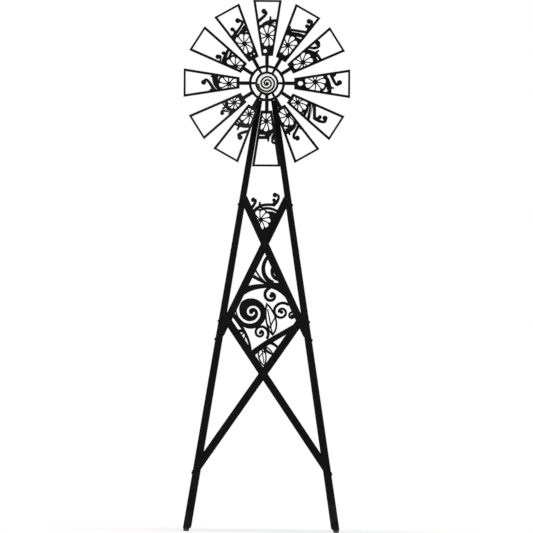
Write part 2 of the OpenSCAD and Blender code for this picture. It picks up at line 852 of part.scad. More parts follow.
module spindle_screws() {
    seat = tower_h + cap_t + spindle_flange_t;
    color(black) spindle_screw_places() {
        translate([0, 0, seat]) cylinder(d = screw_head_d, h = screw_head_h);
        translate([0, 0, tower_h]) cylinder(d = screw_d, h = seat - tower_h);
    }
}

// Rubber block nested inside the foot of leg k, with a rounded tip and a flat sole
module foot(k) {
    corner = inner_corner(leg_t);
    centre = corner + foot_w / 2 * (arm_a() + arm_b());
    round_r = 0.66 * foot_w;
    round_h = 16;
    color(rubber) difference() {
        intersection() {
            along_leg(k, 0, foot_h) polygon([
                corner,
                corner + foot_w * arm_a(),
                corner + foot_w * (arm_a() + arm_b()),
                corner + foot_w * arm_b()
            ]);
            on_leg(k) translate([centre.x, centre.y, 0]) rotate_extrude() polygon(concat(
                [[0, foot_h + 20], [0, 2]],
                [for (a = [75:-15:0]) [round_r * cos(a), 2 + round_h * (1 - sin(a))]],
                [[round_r, foot_h + 20]]
            ));
        }
        foot_screws() translate([0, 0, -leg_t - foot_hole]) cylinder(r = bolt_hole_r, h = foot_hole + 1);
    }
}

module feet() {
    for (k = [0:3]) foot(k);
}

// Head

// Axle tube, swivel socket, gusset and tail lug, welded into one
module swivel_head() {
    tube_len = tube_back - tube_front;
    color(black) on_head() difference() {
        union() {
            translate([0, tube_front, 0]) rotate([-90, 0, 0]) cylinder(d = tube_d, h = tube_len);
            translate([0, 0, -socket_drop]) cylinder(d = socket_d, h = socket_drop);
            translate([-web_t / 2, 0, 0]) rotate([90, 0, 90]) linear_extrude(web_t) polygon([
                [tube_front + 30, -tube_d / 4],
                [-socket_d / 4, 4 - socket_drop],
                [socket_d / 4, 4 - socket_drop],
                [tube_back - 8, -tube_d / 4]
            ]);
            translate([-web_t / 2, lug_end - lug_len, tube_d / 4])
                cube([web_t, lug_len, boom_z + boom_w / 2 - tube_d / 4]);
        }
        translate([0, tube_front - 1, 0]) rotate([-90, 0, 0]) cylinder(d = tube_bore, h = tube_len + 2);
        translate([0, 0, -socket_drop - 1]) cylinder(d = socket_bore, h = socket_drop + socket_top + 1);
        for (y = tail_bolt_y) translate([0, y, boom_z]) rotate([0, 90, 0])
            cylinder(r = bolt_hole_r, h = web_t + 2, center = true);
    }
}

// Flanged bush along z with its flange under z = 0
module bush(outer_d, shaft_d, length, flange_d, flange_t) {
    difference() {
        union() {
            cylinder(d = outer_d - 2 * press_gap, h = length);
            translate([0, 0, -flange_t]) cylinder(d = flange_d, h = flange_t);
        }
        translate([0, 0, -flange_t - 1]) cylinder(r = shaft_d / 2 + running_gap, h = length + flange_t + 2);
    }
}

module swivel_bushes() {
    color(bronze) on_head() {
        translate([0, 0, -socket_drop])
            bush(socket_bore, spindle_d, yaw_bush_len, socket_d, yaw_bush_flange_t);
        translate([0, 0, socket_top - thrust_t - yaw_bush_len]) difference() {
            cylinder(d = socket_bore - 2 * press_gap, h = yaw_bush_len);
            translate([0, 0, -1]) cylinder(r = spindle_r + running_gap, h = yaw_bush_len + 2);
        }
    }
}

module thrust_pad() {
    color(bronze) on_head() translate([0, 0, socket_top - thrust_t])
        cylinder(d = socket_bore - 2 * press_gap, h = thrust_t);
}

module axle_bushes() {
    color(bronze) on_head() {
        translate([0, tube_front, 0]) rotate([-90, 0, 0])
            bush(tube_bore, axle_d, bush_len, tube_d - 2, bush_flange_t);
        translate([0, tube_back, 0]) rotate([90, 0, 0])
            bush(tube_bore, axle_d, bush_len, tube_d - 2, bush_flange_t);
    }
}

// Tail

// Calls its child at each tail bolt, with x along the bolt
module tail_bolt_places() {
    on_head() for (y = concat(tail_bolt_y, vane_bolt_y)) translate([0, y, boom_z]) children();
}

module tail_boom() {
    color(black) difference() {
        on_head() translate([web_t / 2, boom_start, boom_z]) rotate([90, 0, 90])
            linear_extrude(boom_t) translate([boom_w / 2, 0])
                polygon(bar_outline(boom_end - boom_start - boom_w, boom_w));
        tail_bolt_places() rotate([0, 90, 0]) cylinder(r = bolt_hole_r, h = 60, center = true);
    }
}

// Fan-shaped plate with a notched rear edge
module tail_vane() {
    corner = 10;
    notch = 34;
    color(black) difference() {
        on_head() translate([web_t / 2 - vane_t, 0, boom_z]) rotate([90, 0, 90]) linear_extrude(vane_t)
            offset(r = corner, $fn = 32) offset(delta = -corner) polygon([
                [vane_start, -vane_front_h / 2],
                [tail_reach, -vane_rear_h / 2],
                [tail_reach - notch, 0],
                [tail_reach, vane_rear_h / 2],
                [vane_start, vane_front_h / 2]
            ]);
        tail_bolt_places() rotate([0, 90, 0]) cylinder(r = bolt_hole_r, h = 60, center = true);
    }
}

// Bolts and nuts of the tail: two through the lug, the others through the vane
module tail_bolts() {
    head_x = web_t / 2 + boom_t;
    color(black) on_head() {
        for (y = tail_bolt_y) translate([head_x, y, boom_z]) rotate([0, 90, 0]) {
            bolt(0, -boom_t - web_t);
            nut(-boom_t - web_t);
        }
        for (y = vane_bolt_y) translate([head_x, y, boom_z]) rotate([0, 90, 0]) {
            bolt(0, -boom_t - vane_t);
            nut(-boom_t - vane_t);
        }
    }
}

// Wheel

// Axle with a shoulder behind the hub and a threaded front end
module axle() {
    back = -wheel_reach - axle_back;
    shoulder = -nut_seat - 0.5;
    color(black) on_wheel() {
        translate([0, 0, back]) cylinder(r = axle_r, h = shoulder - back);
        translate([0, 0, hub_back - shoulder_t]) cylinder(d = shoulder_d, h = shoulder_t);
        translate([0, 0, shoulder - 1]) cylinder(d = thread_d, h = axle_nut_h + 3.5);
    }
}

module axle_collar() {
    color(black) on_wheel()
        translate([0, 0, -wheel_reach - tube_back - bush_flange_t - axial_gap - collar_len]) difference() {
            cylinder(d = collar_d, h = collar_len);
            translate([0, 0, -1]) cylinder(r = axle_r + press_gap, h = collar_len + 2);
        }
}

module axle_nut() {
    color(black) on_wheel() translate([0, 0, -nut_seat]) difference() {
        cylinder(d = axle_nut_d, h = axle_nut_h, $fn = 6);
        translate([0, 0, -1]) cylinder(d = thread_d + 2 * press_gap, h = axle_nut_h + 2);
    }
}

// Turned hub: rear boss, flange for the arms, spigot inside them and a recess for the nut
module hub() {
    color(black) on_wheel() difference() {
        union() {
            translate([0, 0, hub_back]) cylinder(d = hub_boss_d, h = hub_boss_len + 1);
            translate([0, 0, -hub_flange_t]) cylinder(r = hub_r, h = hub_flange_t);
            translate([0, 0, -1]) cylinder(r = spigot_r, h = arm_t + 1);
        }
        translate([0, 0, hub_back - 1])
            cylinder(r = axle_r + press_gap, h = hub_boss_len + hub_flange_t + arm_t + 2);
        translate([0, 0, -nut_seat]) cylinder(d = nut_recess_d, h = nut_seat + arm_t + 1);
        hub_screw_places()
            translate([0, 0, -hub_flange_t - 1]) cylinder(r = screw_hole_r, h = hub_flange_t + 2);
    }
}

module hub_screw_places() {
    for (i = long_arms) rotate(arm_angle(i)) translate([0, hub_screw_r, 0]) children();
}

module hub_cap() {
    color(pale) on_wheel() translate([0, 0, arm_t]) difference() {
        cylinder(r = hub_r, h = cap_disc_t, $fn = 96);
        hub_screw_places() translate([0, 0, -1]) cylinder(r = screw_hole_r, h = cap_disc_t + 2);
    }
}

module hub_rim() {
    color(black) on_wheel() translate([0, 0, arm_t + cap_disc_t]) difference() {
        cylinder(r = hub_r, h = rim_t, $fn = 96);
        translate([0, 0, -1]) cylinder(r = rim_inner, h = rim_t + 2);
        hub_screw_places() translate([0, 0, -1]) cylinder(r = screw_hole_r, h = rim_t + 2);
    }
}

// Flat scroll that winds out from the middle of the cap disc to the rim
module hub_scroll() {
    steps = 60;
    reach = rim_inner - scroll_w / 2 - 0.3;
    path = [for (i = [0:steps]) let (t = i / steps, a = 40 - 360 * scroll_turns * t)
        (scroll_w / 2 + (reach - scroll_w / 2) * t) * [cos(a), sin(a)]];
    color(black) on_wheel() translate([0, 0, arm_t + cap_disc_t]) linear_extrude(scroll_t)
        offset(delta = 0.02) {
            ribbon(path, scroll_w, scroll_w);
            circle(0.8 * scroll_w, $fn = 24);
        }
}

module hub_screws() {
    seat = arm_t + cap_disc_t + rim_t;
    color(black) on_wheel() hub_screw_places() {
        translate([0, 0, seat]) cylinder(d = screw_head_d, h = screw_head_h);
        translate([0, 0, -hub_flange_t - screw_nut_h - 1])
            cylinder(d = screw_d, h = seat + hub_flange_t + screw_nut_h + 1);
        translate([0, 0, -hub_flange_t - screw_nut_h]) cylinder(d = screw_head_d, h = screw_nut_h, $fn = 6);
    }
}

module wheel_ring() {
    color(black) on_wheel() translate([0, 0, arm_t]) difference() {
        cylinder(r = ring_r, h = ring_t, $fn = 96);
        translate([0, 0, -1]) cylinder(r = ring_r - ring_band, h = ring_t + 2, $fn = 96);
        for (i = [0:arm_count - 1]) rotate(arm_angle(i))
            translate([0, rivet_r, -1]) cylinder(r = rivet_d / 2 + hole_gap, h = ring_t + 2);
    }
}

// Flat arm, twisted to the blade's pitch outside the ring, with a cross head behind the blade's root
module wheel_arm(i) {
    seat_start = ring_r - ring_band - 1;
    twist_len = blade_root_r - twist_start;
    is_long = len(search(i, short_arms)) == 0;
    color(black) difference() {
        union() {
            if (is_long) on_arm(i) translate([-arm_inner_w / 2, arm_start, 0])
                cube([arm_inner_w, seat_start - arm_start + 1, arm_t]);
            on_arm(i) translate([-arm_w / 2, seat_start, 0]) cube([arm_w, twist_start - seat_start, arm_t]);
            on_arm(i) translate([0, twist_start, arm_t / 2]) rotate([-90, 0, 0])
                linear_extrude(twist_len, twist = -blade_pitch, slices = 6, $fn = 4)
                    square([arm_w, arm_t], center = true);
            on_blade(i) translate([-t_head_w / 2, 0, -arm_t]) cube([t_head_w, root_strip, arm_t]);
        }
        on_arm(i) translate([0, rivet_r, -1]) cylinder(r = rivet_d / 2 + hole_gap, h = arm_t + 2);
        if (is_long) on_arm(i) translate([0, hub_screw_r, -1]) cylinder(r = screw_hole_r, h = arm_t + 2);
        blade_bolt_places(i) translate([0, 0, -arm_t - 1]) cylinder(r = blade_bolt_hole_r, h = arm_t + 2);
    }
}

module wheel_arms() {
    for (i = [0:arm_count - 1]) wheel_arm(i);
}

module ring_rivets() {
    color(black) for (i = [0:arm_count - 1]) on_arm(i) translate([0, rivet_r, 0]) {
        cylinder(d = rivet_d, h = arm_t + ring_t);
        translate([0, 0, arm_t + ring_t]) cylinder(d = rivet_head_d, h = rivet_head_h);
        translate([0, 0, -rivet_head_h]) cylinder(d = rivet_head_d, h = rivet_head_h);
    }
}

// Blades

module blade_bolt_places(i) {
    on_blade(i) for (side = [-1, 1]) translate([side * blade_bolt_u, root_strip / 2, 0]) children();
}

// Scrollwork of each blade, clockwise from the top, as places across and along the blade:
// its flower (place, radius, turn), eyelets in the solid root (place, radius), bands (from, to, bow, widths),
// hooks (from, ball's place, ball's radius, sway), thorns (from, to), loops (place, radius) and slits that
// are cut through them (from, to, bow, widths)
blade_art = [
    [[[2, 93], 48, 31], [[[-11, 22], 10.5]], [[[-38, 132], [54, 157], 14, 10, 22]],
        [[[-50, 154], [-18, 205], 10.5, 0.15]], [[[14, 164], [15, 178]]], [],
        [[[-35, 141], [9, 171], 4, 5, 6], [[29, 154], [45, 150], 0, 7, 7]]],
    [[[-4, 73], 47, 17], [[[-1, 23], 4.5]],
        [[[-51, 132], [53, 170], 0, 13, 12], [[-45, 118], [59, 146], 6, 18, 16],
            [[11, 120], [57, 120], 0, 8, 16]],
        [[[51, 164], [29, 217], 10, 0.15], [[47, 164], [32, 193], 8, 0.2]], [[[-37, 140], [-38, 152]]], [],
        [[[-23, 137], [47, 161], 0, 4.5, 5], [[29, 131], [43, 134], 0, 8, 8]]],
    [[[6, 66], 47, 3], [],
        [[[-38, 103], [19, 138], 8, 10, 16], [[1, 138], [63, 141], 0, 13, 12],
            [[-2, 122], [62, 120], 2, 14, 16]],
        [[[-46, 114], [-35, 170], 10.5, 0.35]], [[[-1, 138], [-2, 154]]], [],
        [[[-42, 109], [-5, 148], 4, 5, 6], [[19, 132], [51, 132], 0, 6.5, 6.5]]],
    [[[-8, 97], 48, 30], [[[-1, 29], 13]], [[[-44, 142], [56, 156], 14, 10, 24]],
        [[[-57, 164], [-6, 208], 10.5, 0.15], [[-56, 160], [-45, 184], 7.5, 0.2]],
        [[[19, 166], [21, 179]]], [], [[[-38, 152], [17, 177], 5, 5, 6], [[28, 152], [41, 149], 0, 7, 7]]],
    [[[-3, 42], 46, 19], [],
        [[[-52, 104], [20, 147], 0, 12, 12], [[-45, 92], [47, 125], 4, 14, 12],
            [[-7, 92], [47, 101], 2, 10, 18]],
        [[[17, 141], [-11, 186], 10.5, 0.45], [[16, 145], [-2, 163], 7.5, 0.1]], [], [],
        [[[-37, 98], [45, 138], 0, 5, 5], [[13, 105], [36, 109], 0, 7.5, 7.5]]],
    [[[-14, 52], 46, 20], [], [[[-45, 95], [43, 109], 12, 12, 26], [[-53, 113], [-38, 136], 0, 20, 9]],
        [[[-47, 111], [-1, 163], 10.5, 0.2]], [[[22, 115], [23, 130]]], [],
        [[[-38, 102], [17, 136], 5, 5, 6], [[27, 104], [39, 101], 0, 6, 6]]],
    [[[1, 49], 46, 20], [],
        [[[-14, 124], [54, 124], 0, 13, 12], [[-46, 96], [54, 102], 8, 14, 14],
            [[-22, 112], [6, 116], 0, 14, 20], [[-44, 100], [-28, 130], 0, 14, 11]],
        [], [[[-9, 124], [-9, 139]]], [[[-39, 139], 6.5]],
        [[[-33, 103], [-15, 126], 2, 5, 7], [[9, 114], [41, 114], 0, 6.5, 6.5]]],
    [[[-2, 39], 46, 26], [], [[[-43, 80], [53, 102], 12, 10, 24]],
        [[[-47, 102], [-18, 152], 10.5, 0.2]], [[[13, 110], [13, 125]]], [],
        [[[-39, 89], [9, 123], 3, 6, 6.5], [[23, 101], [39, 99], 0, 6.5, 6.5]]],
    [[[3, 50], 30, 16], [], [[[-31, 81], [57, 88], 6, 10, 18], [[-39, 85], [-31, 99], 0, 16, 8]],
        [[[-23, 87], [-9, 122], 8, 0.25]], [[[8, 94], [9, 107]]], [],
        [[[-23, 85], [3, 105], 2, 4.5, 5], [[19, 91], [35, 89], 0, 5.5, 5.5]]],
    [[[-5, 49], 46, 32], [], [[[-44, 96], [50, 110], 12, 10, 30], [[-50, 114], [-35, 136], 0, 20, 9]],
        [[[-44, 114], [2, 165], 10.5, 0.2]], [[[30, 114], [31, 129]]], [],
        [[[-34, 104], [22, 136], 5, 5, 6]]],
    [[[-14, 38], 46, 22], [], [[[-55, 89], [40, 104], 6, 16, 15], [[-11, 84], [41, 88], 2, 8, 11]],
        [[[-55, 97], [-22, 130], 9.5, 0.2], [[12, 99], [8, 117], 7.5, 0.05]], [], [],
        [[[-39, 101], [0, 118], 1, 4.5, 5], [[3, 92], [33, 98], 0, 7.5, 7.5]]],
    [[[-3, 83], 47, 16], [[[14, 22], 5.5], [[-3, 21], 4.5]],
        [[[-53, 123], [54, 143], 10, 16, 28], [[-61, 137], [-48, 165], 0, 18, 9]],
        [[[-53, 131], [23, 191], 10.5, 0.15], [[-18, 146], [-22, 168], 8, 0.1]], [], [],
        [[[-13, 137], [44, 165], -2, 5, 6]]]
];

// Outline of a blade, or of one that is longer by some extra
module blade_outline(extra = 0) {
    tip = blade_tip_w / 2 + extra * blade_edge_slope;
    polygon([
        [-blade_root_w / 2, 0],
        [blade_root_w / 2, 0],
        [tip, blade_len + extra],
        [-tip, blade_len + extra]
    ]);
}

module blade_scrollwork(i) {
    art = blade_art[i];
    flower = art[0];
    collar = 8;
    difference() {
        union() {
            // Solid root round the lower half of the flower
            translate([-blade_made.x / 2, 0]) square([blade_made.x, flower[0].y]);
            // Arch over its upper half
            translate(flower[0]) intersection() {
                circle(flower[1] + collar, $fn = 40);
                translate([-blade_made.x, 0]) square(2 * blade_made.x);
            }
            for (b = art[2]) bowed_band(b[0], b[1], b[2], b[3], b[4]);
            for (h = art[3]) hook(h[0], h[1], h[2], h[3]);
            for (spur = art[4]) thorn(spur[0], spur[1]);
            for (ring = art[5]) translate(ring[0]) band(ring[1], collar);
        }
        for (s = art[6]) bowed_band(s[0], s[1], s[2], s[3], s[4]);
        for (eyelet = art[1]) translate(eyelet[0]) circle(eyelet[1], $fn = 20);
        translate(flower[0]) circle(flower[1] + 1, $fn = 40);
    }
    translate(flower[0]) rosette(flower[1], flower[2]);
}

module blade(i) {
    color(black) difference() {
        on_blade(i) linear_extrude(blade_t) {
            difference() {
                blade_outline();
                offset(delta = -blade_strip) blade_outline(blade_strip - tip_strip);
            }
            intersection() {
                blade_outline();
                union() {
                    translate([-blade_tip_w / 2, 0]) square([blade_tip_w, root_strip]);
                    bold_lines(fine_bold) stretched(blade_made, [blade_tip_w, blade_len]) blade_scrollwork(i);
                }
            }
        }
        blade_bolt_places(i) translate([0, 0, -1]) cylinder(r = blade_bolt_hole_r, h = blade_t + 2);
    }
}

// Bolts and nuts that hold the blades to the arms' cross heads
module blade_bolts() {
    color(black) for (i = [0:arm_count - 1]) blade_bolt_places(i) {
        translate([0, 0, blade_t]) cylinder(d = blade_head_d, h = blade_head_h);
        translate([0, 0, -arm_t - blade_nut_h - 1])
            cylinder(d = blade_bolt_d, h = arm_t + blade_nut_h + 1 + blade_t);
        translate([0, 0, -arm_t - blade_nut_h]) cylinder(d = blade_head_d, h = blade_nut_h, $fn = 6);
    }
}

for (k = [0:3]) {
    leg(k);
    for (level = levels, side = [-1, 1])
        brace(k, level, side);
}
upper_scroll_panel();
lower_scroll_panel();
crossing_washers();
tower_bolts();
tower_nuts();
tower_cap();
swivel_spindle();
spindle_screws();
feet();
swivel_head();
swivel_bushes();
thrust_pad();
axle_bushes();
tail_boom();
tail_vane();
tail_bolts();
axle();
axle_collar();
axle_nut();
hub();
hub_cap();
hub_rim();
hub_scroll();
hub_screws();
wheel_ring();
wheel_arms();
ring_rivets();
blade_bolts();
for (i = [0:arm_count - 1])
    blade(i);
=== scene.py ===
import math

import bmesh
import bpy
from mathutils import Matrix, Vector
from mathutils.geometry import delaunay_2d_cdt


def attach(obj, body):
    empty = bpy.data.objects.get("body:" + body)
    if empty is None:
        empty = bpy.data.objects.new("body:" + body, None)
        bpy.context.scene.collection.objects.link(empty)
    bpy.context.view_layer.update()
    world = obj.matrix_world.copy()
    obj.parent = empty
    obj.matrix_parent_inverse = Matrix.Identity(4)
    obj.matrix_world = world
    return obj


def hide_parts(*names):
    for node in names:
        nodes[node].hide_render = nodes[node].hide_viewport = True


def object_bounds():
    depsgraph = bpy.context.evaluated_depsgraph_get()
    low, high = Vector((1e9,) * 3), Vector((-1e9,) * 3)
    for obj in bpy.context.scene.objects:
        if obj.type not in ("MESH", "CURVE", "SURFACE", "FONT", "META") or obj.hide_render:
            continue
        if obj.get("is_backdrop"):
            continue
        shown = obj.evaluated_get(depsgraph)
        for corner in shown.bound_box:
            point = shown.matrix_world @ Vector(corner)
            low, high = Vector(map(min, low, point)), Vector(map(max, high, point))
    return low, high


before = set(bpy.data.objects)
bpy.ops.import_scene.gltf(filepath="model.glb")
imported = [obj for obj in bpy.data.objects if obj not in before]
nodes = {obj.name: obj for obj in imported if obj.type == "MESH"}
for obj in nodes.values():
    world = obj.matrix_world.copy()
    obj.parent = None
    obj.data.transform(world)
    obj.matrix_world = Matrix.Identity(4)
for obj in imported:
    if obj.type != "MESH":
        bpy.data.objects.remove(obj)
cad_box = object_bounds()
scene = bpy.context.scene
MM = 0.001
FULL_TURN = 2 * math.pi

# Sizes of the windmill that the looks follow, in metres
HUB_Z = 2.057
TUBE_R = 0.017
SOCKET_R = 0.015
WEB_HALF = 0.003
WEB_FRONT = -0.1028
WEB_BACK = 0.048
LUG_START = 0.010
LUG_END = 0.056
SPINDLE_R = 0.008
SPINDLE_FLANGE_TOP = 1.984
SPLASH_TOP = 0.45
SCUFF_TOP = 0.022
# Where the painted shade and rougher film on the hub disc begin and reach full strength
RIM_SHADE_AND_FILM_START = 0.026
RIM_SHADE_AND_FILM_FULL = 0.05

# Colours: the two that each finish clouds between, what wears or settles on it, and the painted shade with a
# film at the hub disc's rim
WHITE = (1, 1, 1, 1)
PAINT = ((0.001, 0.001, 0.0011, 1), (0.0038, 0.0038, 0.004, 1))
BARE_STEEL = (0.11, 0.106, 0.1, 1)
DUST = (0.07, 0.066, 0.06, 1)
SOIL = (0.05, 0.044, 0.037, 1)
ZINC = ((0.003, 0.003, 0.0035, 1), (0.009, 0.009, 0.01, 1))
RUBBED_ZINC = (0.08, 0.078, 0.076, 1)
ENAMEL = ((0.9, 0.9, 0.89, 1), (0.95, 0.95, 0.94, 1))
# Painted shade, with a film, that darkens the hub disc towards its rim
RIM_PAINTED_SHADE_AND_FILM = (0.5, 0.48, 0.44, 1)
ENAMEL_SPECK = (0.3, 0.29, 0.27, 1)
BRONZE = ((0.1, 0.055, 0.022, 1), (0.24, 0.14, 0.055, 1))
OIL = (0.03, 0.02, 0.01, 1)
RUBBER = ((0.012, 0.012, 0.012, 1), (0.03, 0.029, 0.028, 1))
SCUFFED_RUBBER = (0.16, 0.145, 0.125, 1)
FLOOR = ((0.93, 0.93, 0.93, 1), (0.95, 0.95, 0.95, 1))


# Finishes

class Tap:
    """An output socket of a finish's nodes, whose sums, products and powers add Math nodes."""

    def __init__(self, finish, socket):
        self.finish = finish
        self.socket = socket

    def joined(self, operation, first, second):
        """Adds a Math node for two values or taps."""
        return self.finish.node("ShaderNodeMath", {"operation": operation}, {0: first, 1: second})

    def __add__(self, other):
        return self.joined("ADD", self, other)

    def __radd__(self, other):
        return self.joined("ADD", other, self)

    def __sub__(self, other):
        return self.joined("SUBTRACT", self, other)

    def __rsub__(self, other):
        return self.joined("SUBTRACT", other, self)

    def __mul__(self, other):
        return self.joined("MULTIPLY", self, other)

    def __rmul__(self, other):
        return self.joined("MULTIPLY", other, self)

    def __pow__(self, other):
        return self.joined("POWER", self, other)

    def __rpow__(self, other):
        return self.joined("POWER", other, self)


def slant_over(one, other):
    """Length of the slant over two reaches at right angles."""
    return (one * one + other * other) ** 0.5


def socket_of(sockets, key):
    """A node's socket by its identifier, and otherwise by its name or number."""
    named = {socket.identifier: socket for socket in sockets}
    return named[key] if key in named else sockets[key]


class Nodes:
    """The shader nodes of a finish or of the surround."""

    def __init__(self, holder, end):
        holder.use_nodes = True
        self.tree = holder.node_tree
        self.tree.nodes.clear()
        self.end = end

    def node(self, kind, settings, sockets, out=0):
        """Adds a node with its settings, then its sockets' values or links, and taps one output."""
        made = self.tree.nodes.new(kind)
        for key, value in settings.items():
            setattr(made, key, value)
        for key, value in sockets.items():
            socket = socket_of(made.inputs, key)
            if isinstance(value, Tap):
                self.tree.links.new(value.socket, socket)
            else:
                socket.default_value = value
        return Tap(self, socket_of(made.outputs, out)) if made.outputs else None

    def span(self, value, low, high, to_low=0.0, to_high=1.0):
        """Takes a value from one span to another, held at both ends."""
        return self.node("ShaderNodeMapRange", {"clamp": True}, {
            "Value": value, "From Min": low, "From Max": high, "To Min": to_low, "To Max": to_high})

    def seen(self):
        """1 for rays that the camera sees, straight, mirrored or through glass, and 0 for light."""
        straight, mirrored, through = [self.node("ShaderNodeLightPath", {}, {}, ray) for ray in (
            "Is Camera Ray", "Is Glossy Ray", "Is Transmission Ray")]
        return self.span(straight + mirrored + through, 0.0, 1.0)

    def show(self, surface):
        """Ends the nodes in the surface that is shown."""
        self.node(self.end, {}, {"Surface": surface})


class Finish(Nodes):
    """A material and the nodes that paint it."""

    def __init__(self, name):
        self.material = bpy.data.materials.new(name)
        super().__init__(self.material, "ShaderNodeOutputMaterial")
        self.place = self.node("ShaderNodeTexCoord", {}, {}, "Object")
        self.flat = self.node("ShaderNodeNewGeometry", {}, {}, "Normal")

    def noise(self, scale, detail=3.0, roughness=0.5, stretch=(1, 1, 1)):
        """Cloudy noise from 0 to 1, with so many lumps to the metre."""
        at = self.node("ShaderNodeMapping", {}, {"Vector": self.place, "Scale": stretch})
        return self.node("ShaderNodeTexNoise", {}, {
            "Vector": at, "Scale": scale, "Detail": detail, "Roughness": roughness})

    def cells(self, scale):
        """Distance to the nearest of many scattered points, for pebbles and specks."""
        return self.node("ShaderNodeTexVoronoi", {}, {"Vector": self.place, "Scale": scale}, "Distance")

    def blend(self, share, first, second):
        """Colour between two colours."""
        return self.node("ShaderNodeMix", {"data_type": "RGBA"}, {
            "Factor_Float": share, "A_Color": first, "B_Color": second}, "Result_Color")

    def axis(self, name, vector=None):
        """One axis of a vector, or else of the point's place in metres."""
        return self.node("ShaderNodeSeparateXYZ", {}, {"Vector": vector or self.place}, name)

    def edges(self, radius):
        """A rounded normal, and a mask of the sharp edges from how far it leaves the flat one."""
        rounded = self.node("ShaderNodeBevel", {"samples": 4}, {"Radius": radius})
        alike = self.node("ShaderNodeVectorMath", {"operation": "DOT_PRODUCT"}, {
            0: rounded, 1: self.flat}, "Value")
        return rounded, self.span(1 - alike, 0.02, 0.22)

    def done(self, base, roughness, height, depth, under=None, **fixed):
        """Wires the surface: colour, roughness and bump vary, everything in fixed is set on its socket."""
        sockets = {"Height": height, "Strength": 1.0, "Distance": depth}
        if under is not None:
            sockets["Normal"] = under
        bump = self.node("ShaderNodeBump", {}, sockets)
        self.show(self.node("ShaderNodeBsdfPrincipled", {}, {
            "Base Color": base, "Roughness": roughness, "Normal": bump, **fixed}))
        return self.material


def painted_steel(name, grain, grain_depth, chip_scale, worn, splash):
    """Satin black paint on steel: orange peel, streaked sheen, worn edges, dust, and soil near the ground."""
    f = Finish(name)
    clouds = f.noise(7.0, detail=4.0)
    streaks = f.noise(55.0, detail=4.0, roughness=0.6, stretch=(1.0, 1.0, 0.07))
    peel = f.noise(650.0, detail=2.0)
    rolled = f.noise(60.0, roughness=0.6, stretch=grain)
    rounded, edge = f.edges(0.8 * MM)
    wear = edge * f.span(f.noise(chip_scale, detail=5.0, roughness=0.65), 0.47, 0.6) * worn
    upward = f.span(f.axis("Z", f.flat), 0.35, 0.95)
    dust = 0.4 * upward * f.span(f.noise(40.0, detail=5.0), 0.32, 0.7)
    low = f.span(f.axis("Z"), 0.0, SPLASH_TOP, 1.0, 0.0) ** 2.0
    soil = low * f.span(f.noise(24.0, detail=6.0, roughness=0.6), 0.42, 0.66) * splash
    base = f.blend(clouds, *PAINT)
    for share, colour in ((wear, BARE_STEEL), (dust, DUST), (soil, SOIL)):
        base = f.blend(share, base, colour)
    sheen = 0.7 * clouds + 0.3 * streaks
    roughness = f.span(sheen, 0.35, 0.65, 0.33, 0.5) + 0.25 * soil + 0.25 * dust - 0.1 * wear
    return f.done(base, roughness, peel * 0.6 + rolled * grain_depth, 0.06 * MM, rounded,
                  **{"Specular IOR Level": 0.055})


def black_zinc():
    """Blackened fastener steel, with rubbed corners."""
    f = Finish("black_zinc")
    clouds = f.noise(180.0, detail=4.0)
    rounded, edge = f.edges(0.6 * MM)
    rubbed = edge * f.span(f.noise(420.0), 0.4, 0.65)
    base = f.blend(0.6 * rubbed, f.blend(clouds, *ZINC), RUBBED_ZINC)
    return f.done(base, f.span(clouds, 0.3, 0.7, 0.3, 0.46), clouds, 0.02 * MM, rounded,
                  **{"Metallic": 0.35, "Specular IOR Level": 0.15})


def pale_enamel():
    """White enamel of the hub disc: soft clouding, fine peel, specks, and towards its rim a painted shade in
    the colour over a rougher film.
    """
    f = Finish("pale_enamel")
    clouds = f.noise(30.0, detail=4.0)
    out = slant_over(f.axis("X"), f.axis("Z") - HUB_Z)
    # Painted shade: the enamel's colour darkens in cloudy patches towards the rim; the same mask makes the
    # surface rougher there as a film
    painted_shade_and_film = f.span(out, RIM_SHADE_AND_FILM_START, RIM_SHADE_AND_FILM_FULL) * f.span(f.noise(120.0, detail=5.0), 0.3, 0.75)
    speck = f.span(f.cells(700.0), 0.05, 0.12, 1.0, 0.0) * f.span(f.noise(60.0), 0.55, 0.62)
    base = f.blend(0.12 * painted_shade_and_film, f.blend(clouds, *ENAMEL), RIM_PAINTED_SHADE_AND_FILM)
    base = f.blend(0.5 * speck, base, ENAMEL_SPECK)
    roughness = f.span(clouds, 0.3, 0.7, 0.26, 0.4) + 0.15 * painted_shade_and_film
    return f.done(base, roughness, f.noise(500.0, detail=2.0), 0.03 * MM)


def oiled_bronze():
    """Turned bronze with fine tool rings and an oil film."""
    f = Finish("oiled_bronze")
    clouds = f.noise(140.0, detail=5.0)
    turned = f.noise(900.0, detail=2.0, stretch=(0.15, 1.0, 1.0))
    oil = 0.6 * f.span(f.noise(60.0, detail=4.0), 0.45, 0.65)
    base = f.blend(oil, f.blend(clouds, *BRONZE), OIL)
    return f.done(base, f.span(clouds, 0.3, 0.7, 0.28, 0.46), turned, 0.02 * MM, **{"Metallic": 1.0})


def foot_rubber():
    """Moulded black rubber: pebbled, scuffed grey towards the sole."""
    f = Finish("foot_rubber")
    pebble = f.cells(900.0)
    clouds = f.noise(70.0, detail=5.0, roughness=0.6)
    scuff = f.span(f.axis("Z"), 0.0, SCUFF_TOP, 1.0, 0.0) * f.span(clouds, 0.4, 0.66)
    base = f.blend(0.7 * scuff, f.blend(clouds, *RUBBER), SCUFFED_RUBBER)
    return f.done(base, f.span(clouds, 0.3, 0.7, 0.7, 0.88), pebble, 0.08 * MM,
                  **{"Specular IOR Level": 0.25})


